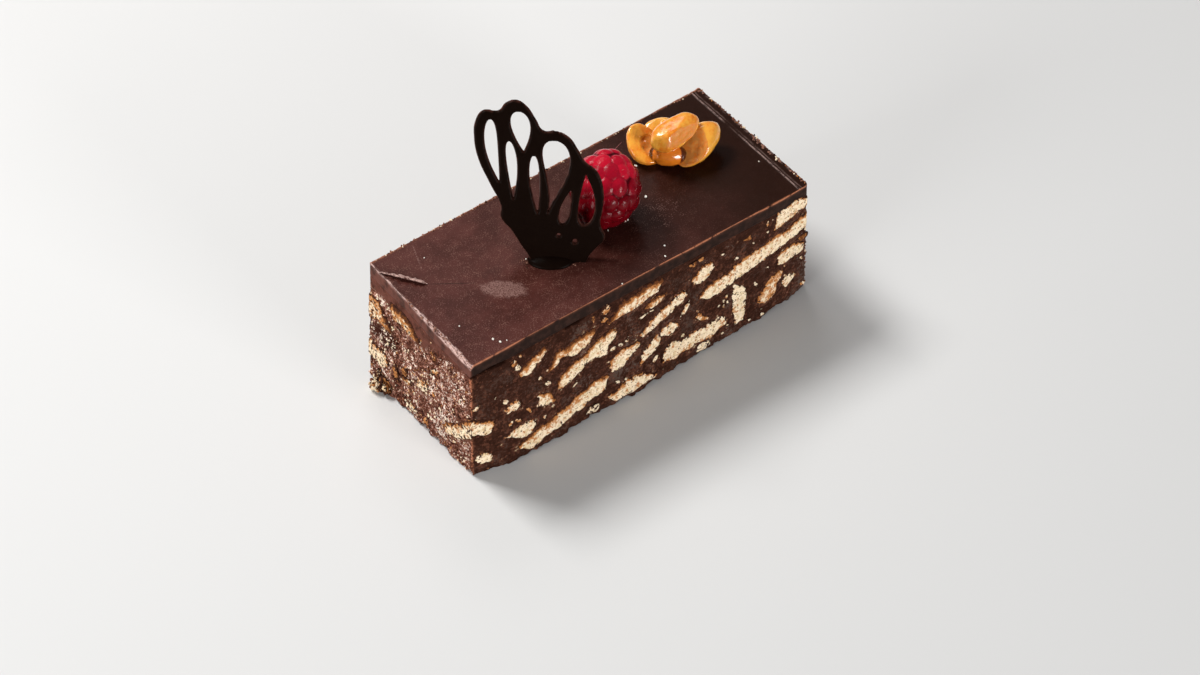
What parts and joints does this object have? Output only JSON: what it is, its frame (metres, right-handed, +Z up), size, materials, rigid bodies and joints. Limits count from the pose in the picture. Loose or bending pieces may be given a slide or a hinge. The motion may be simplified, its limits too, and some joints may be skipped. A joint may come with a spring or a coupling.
{
  "type": "mosaic cake",
  "caption": "Cut slice of cocoa and broken biscuit cake under a dark chocolate glaze, with a standing chocolate lace, a raspberry and caramelised peanuts.",
  "frame": {"origin": "middle of the flat underside of the slice, which rests on a plate or table", "axes": "+Z up, +X along the slice from the crumbly end with the dragged-out crust to the other end, -Y out of the long cut face that shows the biscuits"},
  "size_m": [0.128, 0.0539, 0.0915],
  "materials": {
    "cocoa_mass": "matt, crumbly on the end",
    "biscuit": "matt, porous, toasted at the rims",
    "glaze": "satin",
    "lace": "satin",
    "raspberry": "moist",
    "peanut": "glossy caramel skin"
  },
  "bodies": {
    "root": {"biscuit_back_1": "biscuit", "biscuit_back_10": "biscuit", "biscuit_back_11": "biscuit", "biscuit_back_12": "biscuit", "biscuit_back_2": "biscuit", "biscuit_back_3": "biscuit", "biscuit_back_4": "biscuit", "biscuit_back_5": "biscuit", "biscuit_back_6": "biscuit", "biscuit_back_7": "biscuit", "biscuit_back_8": "biscuit", "biscuit_back_9": "biscuit", "biscuit_front_1": "biscuit", "biscuit_front_10": "biscuit", "biscuit_front_11": "biscuit", "biscuit_front_12": "biscuit", "biscuit_front_13": "biscuit", "biscuit_front_14": "biscuit", "biscuit_front_15": "biscuit", "biscuit_front_16": "biscuit", "biscuit_front_17": "biscuit", "biscuit_front_18": "biscuit", "biscuit_front_19": "biscuit", "biscuit_front_2": "biscuit", "biscuit_front_20": "biscuit", "biscuit_front_21": "biscuit", "biscuit_front_22": "biscuit", "biscuit_front_23": "biscuit", "biscuit_front_24": "biscuit", "biscuit_front_25": "biscuit", "biscuit_front_3": "biscuit", "biscuit_front_4": "biscuit", "biscuit_front_5": "biscuit", "biscuit_front_6": "biscuit", "biscuit_front_7": "biscuit", "biscuit_front_8": "biscuit", "biscuit_front_9": "biscuit", "biscuit_heel": "biscuit", "biscuit_left_1": "biscuit", "biscuit_left_2": "biscuit", "biscuit_left_3": "biscuit", "biscuit_left_4": "biscuit", "biscuit_left_5": "biscuit", "biscuit_left_6": "biscuit", "biscuit_right_1": "biscuit", "biscuit_right_2": "biscuit", "biscuit_right_3": "biscuit", "biscuit_right_4": "biscuit", "biscuit_right_5": "biscuit", "fudge": "cocoa_mass", "glaze": "glaze", "lace": "lace", "nut_1": "peanut", "nut_2": "peanut", "nut_3": "peanut", "nut_4": "peanut", "nut_5": "peanut", "raspberry": "raspberry"}
  },
  "joints": []
}
